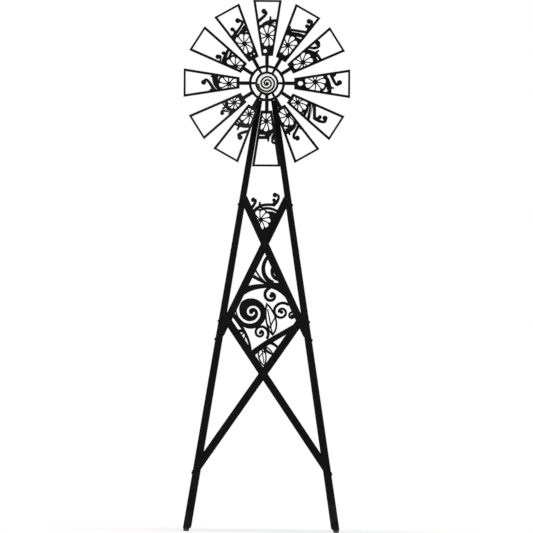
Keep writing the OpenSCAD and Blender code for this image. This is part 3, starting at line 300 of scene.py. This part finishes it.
frame_paint = painted_steel("frame_paint", grain=(6.0, 6.0, 0.6), grain_depth=0.5, chip_scale=110.0,
                            worn=0.7, splash=0.25)
sheet_paint = painted_steel("sheet_paint", grain=(1.0, 1.0, 1.0), grain_depth=0.25, chip_scale=420.0,
                            worn=0.2, splash=0.0)
forged_paint = painted_steel("forged_paint", grain=(2.0, 2.0, 2.0), grain_depth=0.8, chip_scale=150.0,
                             worn=0.7, splash=0.0)
fastener_steel = black_zinc()
disc_enamel = pale_enamel()
bush_bronze = oiled_bronze()
foot_black = foot_rubber()


def is_bar(node):
    """Whether a node is a leg or a brace."""
    return node.startswith("leg_") or "_brace_" in node


def finish_of(node):
    """The finish that a CAD node wears."""
    if node == "hub_cap":
        return disc_enamel
    if node in ("swivel_bushes", "thrust_pad", "axle_bushes"):
        return bush_bronze
    if node == "feet":
        return foot_black
    if node in ("axle", "axle_collar", "axle_nut", "swivel_spindle", "crossing_washers"):
        return fastener_steel
    if node.startswith("blade_") or node.endswith("_panel") or node in ("tail_vane", "hub_scroll", "hub_rim"):
        return sheet_paint
    if is_bar(node) or node == "tail_boom":
        return frame_paint
    return forged_paint


for node, solid in nodes.items():
    solid.data.materials.clear()
    solid.data.materials.append(finish_of(node))


# Edges: the paint rounds every arris of the thicker pieces

SEAM_GAP = 0.005 * MM
LEVEL = math.radians(0.5)
SHARP_EDGE = math.radians(38)
BAR_EASE = 0.4 * MM
PLATE_EASE = 0.5 * MM
EASED_PLATES = ("tower_cap", "swivel_spindle", "swivel_head", "axle_collar", "hub", "hub_rim", "wheel_ring",
                "tail_boom", "tail_vane", "hub_cap")


def close_seams(node):
    """Joins the faces of a node, which come with seams between them."""
    closed = nodes[node].modifiers.new("closed", "WELD")
    closed.merge_threshold = SEAM_GAP


def ease_edges(node, width):
    """Makes each flat of a node one face, and bevels the sharp edges between them."""
    close_seams(node)
    flat = nodes[node].modifiers.new("flat", "DECIMATE")
    flat.decimate_type = "DISSOLVE"
    flat.angle_limit = LEVEL
    eased = nodes[node].modifiers.new("eased", "BEVEL")
    eased.width = width
    eased.segments = 2
    eased.use_clamp_overlap = False
    eased.limit_method = "ANGLE"
    eased.angle_limit = SHARP_EDGE
    even = nodes[node].modifiers.new("even", "WEIGHTED_NORMAL")
    even.keep_sharp = False


for node in nodes:
    if is_bar(node):
        ease_edges(node, BAR_EASE)
for node in EASED_PLATES:
    ease_edges(node, PLATE_EASE)
close_seams("wheel_arms")


# Fasteners, as stacks of rings: each ring has a radius and a height for every turn

SIDES = 24
CHAMFER_SLANT = math.tan(math.radians(30))
DOME_STEPS = [math.radians(degrees) for degrees in (0, 25, 50, 70, 84)]

# Shares of a hexagon's corner, of a thread's radius and pitch, and of a head's radius and rise
FLAT_SHARE = math.cos(math.pi / 6)
FACE_SHARE = 0.96
CHAMFER = 0.04
WASHER_FACE = 0.06
WASHER_STEP = 0.07
TIP_SHARE = 0.8
ROOT_SHARE = 0.87
CREST_AT = 0.35
ROOT_AT = 0.85
DOME_EDGE = 0.25
CAP_PROFILE = ((1.0, 0.0), (1.0, 0.55), (0.94, 0.85), (0.8, 1.0))
SOCKET_MOUTH = 0.52
SOCKET_FLOOR = 0.5
SOCKET_DEPTH = 0.6

# Sizes that fasteners have in common
M6_CORNER = 5.76 * MM
CAP_HEAD = 2.4 * MM
CAP_R = 3.8 * MM
SCREW_R = 2 * MM
SCREW_PITCH = 0.7 * MM
TIP_OUT = 1 * MM
SHORTEST_BOLT = 6 * MM


def turns_of(count):
    """Even directions round a circle."""
    return [FULL_TURN * i / count for i in range(count)]


TURNS = turns_of(SIDES)


def round_ring(radius, height):
    """Ring on a circle."""
    return [(radius, height)] * SIDES


def hex_reach(corner, turn):
    """Distance from a hexagon's middle to its side in one direction."""
    return corner * FLAT_SHARE / math.cos(turn % (math.pi / 3) - math.pi / 6)


def hex_ring(corner, height, slant=0.0):
    """Ring on a hexagon's sides, whose corners stand lower or higher by the slant."""
    flat = corner * FLAT_SHARE
    return [(hex_reach(corner, turn), height + slant * (hex_reach(corner, turn) - flat)) for turn in TURNS]


def dome(radius, seat, rise):
    """Rings of a shallow dome that stands on its seat; a negative rise hangs it under the seat."""
    rings = [round_ring(radius, seat)]
    for a in DOME_STEPS:
        up = DOME_EDGE + (1 - DOME_EDGE) * math.sin(a)
        rings.append(round_ring(radius * math.cos(a), seat + rise * up))
    return rings


def threads(radius, start, end, pitch):
    """Rings of a screw thread's crests and roots."""
    rings = [round_ring(TIP_SHARE * radius, start)]
    for i in range(max(1, int((end - start) / pitch))):
        rings.append(round_ring(radius, start + (i + CREST_AT) * pitch))
        rings.append(round_ring(ROOT_SHARE * radius, start + (i + ROOT_AT) * pitch))
    return rings + [round_ring(radius, end)]


def hex_body(corner, low, high, low_chamfer):
    """Rings of a hexagon with chamfered corners above, and a chamfer or a washer face below."""
    flat = FACE_SHARE * corner * FLAT_SHARE
    foot = [round_ring(flat, low)]
    if low_chamfer:
        foot.append(hex_ring(corner, low + CHAMFER * corner, CHAMFER_SLANT))
    else:
        foot.append(round_ring(flat, low + WASHER_FACE * corner))
        foot.append(hex_ring(corner, low + WASHER_STEP * corner))
    return foot + [hex_ring(corner, high - CHAMFER * corner, -CHAMFER_SLANT), round_ring(flat, high)]


def nutted_shank(shank, corner, nut, pitch, reach):
    """Rings of a shank whose thread stands a little out of its nut."""
    seat = TIP_OUT + nut
    rings = threads(shank, 0.0, TIP_OUT, pitch) + hex_body(corner, TIP_OUT, seat, True)
    return rings + [round_ring(shank, seat), round_ring(shank, reach)]


def socket_head(radius, seat, rise):
    """Rings of a rounded cap head with a hexagon socket."""
    rings = [round_ring(share * radius, seat + up * rise) for share, up in CAP_PROFILE]
    top = seat + rise
    floor = top - SOCKET_DEPTH * rise
    return rings + [hex_ring(SOCKET_MOUTH * radius, top), hex_ring(SOCKET_FLOOR * radius, floor)]


def bridge(mesh, loops, closed):
    """Faces from each loop of a stack to the next, and from the last to the first if it is closed."""
    pairs = list(zip(loops, loops[1:]))
    if closed:
        pairs.append((loops[-1], loops[0]))
    for low, high in pairs:
        for i in range(len(low)):
            mesh.faces.new((low[i - 1], low[i], high[i], high[i - 1]))


def skin(mesh, place, rings, ring_shaped=False):
    """Skins a stack of rings, and closes it at both ends, or on itself if it is ring-shaped."""
    loops = []
    for ring in rings:
        loops.append([mesh.verts.new(place @ Vector((r * math.cos(turn), r * math.sin(turn), h)))
                      for turn, (r, h) in zip(TURNS, ring)])
    if not ring_shaped:
        for loop in (loops[0], loops[-1]):
            centre = mesh.verts.new(sum((vert.co for vert in loop), Vector()) / SIDES)
            for i in range(SIDES):
                mesh.faces.new((loop[i - 1], loop[i], centre))
    bridge(mesh, loops, ring_shaped)


def hex_bolt(mesh, place, length):
    """Hex bolt whose thread shows past the nut and whose head has a washer face and a dished top."""
    head, shank, thread, pitch = 4 * MM, 3 * MM, 2.6 * MM, 0.9 * MM
    brim, brim_depth, dish, dish_depth = 3.3 * MM, 0.05 * MM, 2.9 * MM, 0.35 * MM
    seat = length - head
    rings = threads(shank, 0.0, thread, pitch) + [round_ring(shank, seat)]
    rings += hex_body(M6_CORNER, seat, length, False)
    rings += [round_ring(brim, length - brim_depth), round_ring(dish, length - dish_depth)]
    skin(mesh, place, rings)


def hex_nut(mesh, place, length):
    """Nut with chamfered corners and a countersunk bore."""
    bore, sink, sink_depth = 3.02 * MM, 3.52 * MM, 0.6 * MM
    rings = [round_ring(bore, sink_depth), round_ring(sink, 0.0)]
    rings += hex_body(M6_CORNER, 0.0, length, True)
    rings += [round_ring(sink, length), round_ring(bore, length - sink_depth)]
    skin(mesh, place, rings, True)


def bolt_or_nut(mesh, place, length):
    """The tail's node holds both: a nut is the short one."""
    build = hex_nut if length < SHORTEST_BOLT else hex_bolt
    build(mesh, place, length)


def ring_rivet(mesh, place, length):
    """Rivet with a dome at each end."""
    head, radius, shank = 1.8 * MM, 4 * MM, 2 * MM
    rings = dome(radius, head, -head)[::-1] + [round_ring(shank, head), round_ring(shank, length - head)]
    skin(mesh, place, rings + dome(radius, length - head, head))


def blade_bolt(mesh, place, length):
    """Round-headed bolt with its nut behind the arm."""
    head, radius, shank, nut, pitch = 2.5 * MM, 4.5 * MM, 2.5 * MM, 4 * MM, 0.8 * MM
    rings = nutted_shank(shank, radius, nut, pitch, length - head)
    skin(mesh, place, rings + dome(radius, length - head, head))


def hub_screw(mesh, place, length):
    """Socket screw through the hub's flange, with its nut behind."""
    nut = 3.2 * MM
    rings = nutted_shank(SCREW_R, CAP_R, nut, SCREW_PITCH, length - CAP_HEAD)
    skin(mesh, place, rings + socket_head(CAP_R, length - CAP_HEAD, CAP_HEAD))


def spindle_screw(mesh, place, length):
    """Socket screw through the spindle's flange."""
    thread = 2 * MM
    rings = threads(SCREW_R, 0.0, thread, SCREW_PITCH) + [round_ring(SCREW_R, length - CAP_HEAD)]
    skin(mesh, place, rings + socket_head(CAP_R, length - CAP_HEAD, CAP_HEAD))


# Pieces made where their solids are

POINT_GAP = 0.002 * MM
SAME_WAY = 0.999
END_DEPTH = 0.01 * MM
HEAD_WIDER = 0.1 * MM
SMOOTH_UP_TO = math.radians(34)


def seamless(node):
    """Copy of a CAD node's mesh with its seams joined."""
    mesh = bmesh.new()
    mesh.from_mesh(nodes[node].data)
    bmesh.ops.remove_doubles(mesh, verts=mesh.verts, dist=POINT_GAP)
    mesh.normal_update()
    mesh.faces.index_update()
    return mesh


def islands(mesh):
    """Groups of joined vertices."""
    left = dict.fromkeys(mesh.verts)
    while left:
        group, front = [], [left.popitem()[0]]
        while front:
            vert = front.pop()
            group.append(vert)
            for link in vert.link_edges:
                other = link.other_vert(vert)
                if other in left:
                    del left[other]
                    front.append(other)
        yield group


def main_axis(group):
    """Direction that most of a group's flat faces look along."""
    looks = []
    faces = {face.index: face for vert in group for face in vert.link_faces}
    for _, face in sorted(faces.items()):
        for look in looks:
            if abs(look[0].dot(face.normal)) > SAME_WAY:
                look[1] += face.calc_area()
                break
        else:
            looks.append([face.normal.copy(), face.calc_area()])
    return max(looks, key=lambda look: look[1])[0]


def square_to(axis):
    """Two directions that are square to an axis and to each other."""
    across = axis.orthogonal().normalized()
    return across, axis.cross(across)


def frames_of(node):
    """Frame of each fastener in a CAD node, z along it from its foot to its head, with its length."""
    mesh = seamless(node)
    found = []
    for group in islands(mesh):
        axis = main_axis(group)
        across, beside = square_to(axis)
        points = [vert.co for vert in group]
        middle = Vector((0, 0, 0))
        for way in (across, beside):
            reach = [p.dot(way) for p in points]
            middle += way * (min(reach) + max(reach)) / 2
        along = [p.dot(axis) for p in points]
        low, high = min(along), max(along)
        width = {end: max((p - middle - axis * p.dot(axis)).length for p in points
                          if abs(p.dot(axis) - end) < END_DEPTH) for end in (low, high)}
        foot = low
        if width[low] > width[high] + HEAD_WIDER:
            axis, beside, foot = -axis, -beside, -high
        turn = Matrix((across, beside, axis)).transposed().to_4x4()
        found.append((Matrix.Translation(middle + axis * foot) @ turn, high - low))
    mesh.free()
    return found


def make_piece(name, mesh, body, finish, replaced=()):
    """Turns a mesh into a piece that rides on a body."""
    bmesh.ops.recalc_face_normals(mesh, faces=mesh.faces)
    data = bpy.data.meshes.new(name)
    mesh.to_mesh(data)
    mesh.free()
    data.polygons.foreach_set("use_smooth", [True] * len(data.polygons))
    data.set_sharp_from_angle(angle=SMOOTH_UP_TO)
    data.materials.append(finish)
    piece = bpy.data.objects.new(name, data)
    scene.collection.objects.link(piece)
    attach(piece, body)
    if replaced:
        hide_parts(*replaced)


for node, body, build in (("tower_bolts", "tower", hex_bolt), ("tower_nuts", "tower", hex_nut),
                          ("spindle_screws", "tower", spindle_screw), ("tail_bolts", "head", bolt_or_nut),
                          ("hub_screws", "wheel", hub_screw), ("ring_rivets", "wheel", ring_rivet),
                          ("blade_bolts", "wheel", blade_bolt)):
    mesh = bmesh.new()
    for place, length in frames_of(node):
        build(mesh, place, length)
    make_piece(node + "_detailed", mesh, body, fastener_steel, (node,))


# Cut sheets: the scrollwork's curves, which the solids hold as short straight lines; drawn in millimetres

CORNER = math.radians(50)
CURVE_STEP = math.radians(9)
LINE_RATIO = 2.5
LONGEST_CHORD = 60.0
SHORTEST_CHORD = 0.15
SMALLEST_OPENING = 9.0
SNAP = 0.001
WHOLE_SHEET = 0
BLADES = ["blade_%d" % number for number in range(1, 13)]


def outlines(mesh, axis):
    """Loops of points round one flat side of a sheet and round its openings."""
    onward = {}
    for face in mesh.faces:
        if face.normal.dot(axis) > SAME_WAY:
            for loop in face.loops:
                if loop.link_loop_radial_next.face.normal.dot(axis) < SAME_WAY:
                    onward.setdefault(loop.vert, []).append(loop.link_loop_next.vert)
    while onward:
        vert = next(iter(onward))
        points = []
        while vert in onward:
            points.append(vert.co)
            ends = onward[vert]
            ahead = ends.pop()
            if not ends:
                del onward[vert]
            vert = ahead
        yield points


def drawn(points):
    """Draws a loop's short chords out into the curve that they follow, and keeps corners and lines."""
    points = [p for p, ahead in zip(points, points[1:] + points[:1]) if (ahead - p).length > SHORTEST_CHORD]
    count = len(points)
    chords = [points[(i + 1) % count] - points[i] for i in range(count)]
    ways = [chord.normalized() for chord in chords]
    spans = [chord.length for chord in chords]
    straight = [spans[i] > min(LONGEST_CHORD, LINE_RATIO * max(spans[i - 1], spans[(i + 1) % count]))
                for i in range(count)]
    arriving, leaving = [], []
    for i in range(count):
        before, after = ways[i - 1], ways[i]
        if before.angle(after) > CORNER or (straight[i - 1] and straight[i]):
            arriving.append(before)
            leaving.append(after)
            continue
        if straight[i - 1]:
            way = before
        elif straight[i]:
            way = after
        else:
            way = (before * spans[i] + after * spans[i - 1]).normalized()
        arriving.append(way)
        leaving.append(way)
    curve = []
    for i in range(count):
        j = (i + 1) % count
        start, end = points[i], points[j]
        bend = 0.0 if straight[i] else leaving[i].angle(ways[i]) + ways[i].angle(arriving[j])
        steps = max(1, math.ceil(bend / CURVE_STEP))
        first, last = start + leaving[i] * spans[i] / 3, end - arriving[j] * spans[i] / 3
        for k in range(steps):
            s = k / steps
            r = 1 - s
            curve.append(r ** 3 * start + 3 * r * r * s * first + 3 * r * s * s * last + s ** 3 * end)
    return curve


def area(curve):
    """Area inside a loop of points."""
    return abs(sum(p.x * q.y - q.x * p.y for p, q in zip(curve, curve[1:] + curve[:1]))) / 2


def filled(points, edges):
    """Points and triangles of the steel: across an outline, steel and opening change places."""
    flat, seams, faces, _, drawn_as, _ = delaunay_2d_cdt(points, edges, [], WHOLE_SHEET, SNAP)
    cuts = {frozenset(seam) for seam, source in zip(seams, drawn_as) if source}
    beside = {}
    for number, face in enumerate(faces):
        for i in range(3):
            beside.setdefault(frozenset((face[i], face[i - 1])), []).append(number)
    steel = {}
    for seam, owners in beside.items():
        if len(owners) == 1:
            steel.setdefault(owners[0], seam in cuts)
    front = list(steel)
    while front:
        number = front.pop()
        face = faces[number]
        for i in range(3):
            seam = frozenset((face[i], face[i - 1]))
            for other in beside[seam]:
                if other not in steel:
                    steel[other] = steel[number] != (seam in cuts)
                    front.append(other)
    return flat, [face for number, face in enumerate(faces) if steel[number]]


def cut_sheet(node, body, finish):
    """Cuts a flat sheet again along its smooth outlines, through the thickness of the solid."""
    solid = seamless(node)
    axis = main_axis(solid.verts)
    across, beside = square_to(axis)
    heights = [vert.co.dot(axis) for vert in solid.verts]
    points, edges = [], []
    for loop in outlines(solid, axis):
        curve = drawn([Vector((p.dot(across), p.dot(beside))) / MM for p in loop])
        if area(curve) > SMALLEST_OPENING:
            edges += [(len(points) + i, len(points) + (i + 1) % len(curve)) for i in range(len(curve))]
            points += curve
    solid.free()
    flat, faces = filled(points, edges)
    sheet = bmesh.new()
    low, high = [[sheet.verts.new(MM * (p.x * across + p.y * beside) + height * axis) for p in flat]
                 for height in (min(heights), max(heights))]
    for verts in (low, high):
        for face in faces:
            sheet.faces.new([verts[i] for i in face])
    place = {vert: i for i, vert in enumerate(low)}
    rims = [edge for edge in sheet.edges if len(edge.link_faces) == 1 and edge.verts[0] in place]
    for edge in rims:
        i, j = place[edge.verts[0]], place[edge.verts[1]]
        sheet.faces.new((low[i], low[j], high[j], high[i]))
    make_piece(node + "_sheet", sheet, body, finish, (node,))


for node in ("lower_scroll_panel", "upper_scroll_panel"):
    cut_sheet(node, "tower", sheet_paint)
for node in BLADES + ["hub_scroll"]:
    cut_sheet(node, "wheel", sheet_paint)


# Weld beads

BEAD_TURNS = turns_of(8)
RIPPLE = 0.16
RIPPLE_STEPS = 4
BEAD_STEP = 0.8 * MM
SADDLE_BEAD = 1.9 * MM
SADDLE_STEPS = 112
SEAM_BEAD = 1.3 * MM
SPINDLE_STEPS = 72


def add_bead(mesh, path, radius, looped=False):
    """Rippled weld bead along a path of points."""
    count = len(path)
    loops = []
    for i, point in enumerate(path):
        ahead = path[(i + 1) % count] if looped else path[min(i + 1, count - 1)]
        behind = path[i - 1] if looped else path[max(i - 1, 0)]
        along = (ahead - behind).normalized()
        across = along.cross(Vector((0, 0, 1))).normalized()
        up = across.cross(along)
        swell = radius * (1 + RIPPLE * math.sin(FULL_TURN * i / RIPPLE_STEPS))
        loops.append([mesh.verts.new(point + swell * (math.cos(a) * across + math.sin(a) * up))
                      for a in BEAD_TURNS])
    if not looped:
        mesh.faces.new(loops[0][::-1])
        mesh.faces.new(loops[-1])
    bridge(mesh, loops, looped)


def straight_seam(x, height, start, end):
    """Points along a straight seam from front to back."""
    first, last = Vector((x, start, height)), Vector((x, end, height))
    count = max(2, int((last - first).length / BEAD_STEP))
    return [first.lerp(last, i / count) for i in range(count + 1)]


beads = bmesh.new()
saddle = []
for turn in turns_of(SADDLE_STEPS):
    x, y = SOCKET_R * math.cos(turn), SOCKET_R * math.sin(turn)
    saddle.append(Vector((x, y, HUB_Z - math.sqrt(TUBE_R ** 2 - x * x))))
add_bead(beads, saddle, SADDLE_BEAD, True)
seam_drop = math.sqrt(TUBE_R ** 2 - WEB_HALF ** 2)
low, high = HUB_Z - seam_drop, HUB_Z + seam_drop
seams = ((low, WEB_FRONT, -SOCKET_R), (low, SOCKET_R, WEB_BACK), (high, LUG_START, LUG_END))
for x in (-WEB_HALF, WEB_HALF):
    for height, start, end in seams:
        add_bead(beads, straight_seam(x, height, start, end), SEAM_BEAD)
make_piece("head_welds", beads, "head", forged_paint)

beads = bmesh.new()
seam = [Vector((SPINDLE_R * math.cos(turn), SPINDLE_R * math.sin(turn), SPINDLE_FLANGE_TOP))
        for turn in turns_of(SPINDLE_STEPS)]
add_bead(beads, seam, SEAM_BEAD, True)
make_piece("spindle_weld", beads, "tower", forged_paint)


# Studio: a pale floor, soft lamps and a white surround

FLOOR_R = 7.0
FLOOR_SIDES = 128
SHADOW_R = 0.3
PLAIN_R = 1.1
SHADOW_GLOW = 0.4
SURROUND_LIGHT = 0.45
LAMP_SIZE = 3.0
LAMPS = (("key", (-3.6, -4.6, 5.2), (0, 0, 1.1), 260), ("fill", (4.2, -3.4, 3.0), (0, 0, 1.1), 60),
         ("back", (1.0, 5.0, 4.6), (0, 0, 1.2), 120))


def pale_floor():
    """Matt floor that keeps the shadow near the windmill and is plain white far from it."""
    f = Finish("pale_floor")
    far = f.span(slant_over(f.axis("X"), f.axis("Y")), SHADOW_R, PLAIN_R, SHADOW_GLOW, 1.0)
    paint = f.node("ShaderNodeBsdfPrincipled", {}, {
        "Base Color": f.blend(f.noise(3.0), *FLOOR), "Roughness": 0.9, "Specular IOR Level": 0.0})
    glow = f.node("ShaderNodeEmission", {}, {"Color": WHITE, "Strength": 1.0})
    f.show(f.node("ShaderNodeMixShader", {}, {0: far * f.seen(), 1: paint, 2: glow}))
    return f.material


mesh = bmesh.new()
bmesh.ops.create_circle(mesh, cap_ends=True, segments=FLOOR_SIDES, radius=FLOOR_R)
data = bpy.data.meshes.new("floor")
mesh.to_mesh(data)
mesh.free()
data.materials.append(pale_floor())
floor = bpy.data.objects.new("floor", data)
scene.collection.objects.link(floor)
floor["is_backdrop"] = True

scene.world = bpy.data.worlds.new("surround")
surround = Nodes(scene.world, "ShaderNodeOutputWorld")
soft, white = [surround.node("ShaderNodeBackground", {}, {"Color": WHITE, "Strength": strength})
               for strength in (SURROUND_LIGHT, 1.0)]
surround.show(surround.node("ShaderNodeMixShader", {}, {0: surround.seen(), 1: soft, 2: white}))

for name, place, aim, power in LAMPS:
    lamp = bpy.data.lights.new(name, "AREA")
    lamp.shape = "SQUARE"
    lamp.size = LAMP_SIZE
    lamp.energy = power
    holder = bpy.data.objects.new(name, lamp)
    holder.location = place
    holder.rotation_euler = (Vector(aim) - Vector(place)).to_track_quat("-Z", "Y").to_euler()
    scene.collection.objects.link(holder)


# Camera: square on to the wheel from far off, rolled as the tower leans in the photograph

PIXEL = 0.004587
PICTURE_PIXELS = 533
HUB_RIGHT_PIXELS = 0.4
HUB_UP_PIXELS = 183.3
WHEEL_FRONT = -0.2
ROLL = math.radians(0.74)
LENS = 1300.0
SENSOR = 36.0
FARTHEST = 400.0

right = Vector((math.cos(ROLL), 0, math.sin(ROLL)))
up = Vector((-math.sin(ROLL), 0, math.cos(ROLL)))
middle = Vector((0, 0, HUB_Z)) - HUB_RIGHT_PIXELS * PIXEL * right - HUB_UP_PIXELS * PIXEL * up
away = PICTURE_PIXELS * PIXEL * LENS / SENSOR
lens = bpy.data.cameras.new("camera")
lens.sensor_width = SENSOR
lens.lens = LENS
lens.clip_end = FARTHEST
camera = bpy.data.objects.new("camera", lens)
scene.collection.objects.link(camera)
camera.matrix_world = Matrix.Translation((middle.x, WHEEL_FRONT - away, middle.z)) @ Matrix(
    (right, up, Vector((0, -1, 0)))).transposed().to_4x4()
scene.camera = camera
scene.view_settings.view_transform = "Standard"

boxes = {"cad": cad_box, "visual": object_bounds()}
{name: [list(corner) for corner in box] for name, box in boxes.items()}
